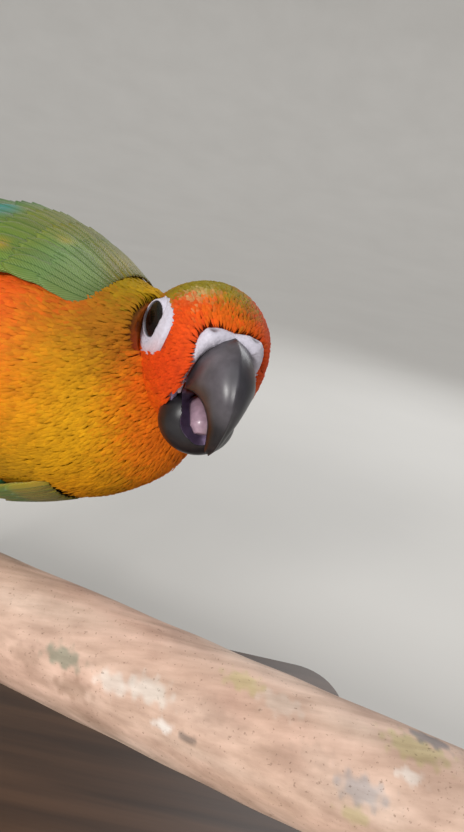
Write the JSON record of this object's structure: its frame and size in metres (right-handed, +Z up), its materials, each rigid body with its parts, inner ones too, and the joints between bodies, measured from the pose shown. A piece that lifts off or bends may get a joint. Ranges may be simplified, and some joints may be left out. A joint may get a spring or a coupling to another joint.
{
  "type": "sun conure, still life-size model on a perch and stand",
  "caption": "Life-size still model of a small green, yellow and orange parrot leaning out along a cut branch, its bill a little open, on a display stand.",
  "frame": {"origin": "centre of the underside of the stand's base", "axes": "+Z up; +X along the base's long side, towards the bird's head; -Y towards the side that the bird's bill and breast face"},
  "size_m": [0.3146, 0.1646, 0.1434],
  "materials": {
    "plumage": "soft feathers, orange, yellow and green",
    "skin": "bare pale skin, matt",
    "horn": "dark horn, satin to glossy",
    "tongue": "moist skin",
    "eye": "wet and glossy",
    "foot": "fine scales, matt",
    "claw": "dark horn, satin",
    "wood": "peeled and worn branch with smudges",
    "base": "dark stained, satin",
    "steel": "satin"
  },
  "bodies": {
    "root": {"torso": "plumage", "neck": "plumage", "head": "plumage", "cere": "skin", "beak_upper": "horn", "beak_lower": "horn", "tongue": "tongue", "eye_right": "eye", "eye_left": "eye", "wing_right": "plumage", "wing_left": "plumage", "tail": "plumage", "thigh_right": "plumage", "thigh_left": "plumage", "foot_right": "foot", "foot_left": "foot", "perch": "wood", "stand_base": "base", "stand_rod_1": "steel", "stand_rod_2": "steel", "claw_right_1": "claw", "claw_right_2": "claw", "claw_right_3": "claw", "claw_right_4": "claw", "claw_left_1": "claw", "claw_left_2": "claw", "claw_left_3": "claw", "claw_left_4": "claw"}
  },
  "joints": []
}
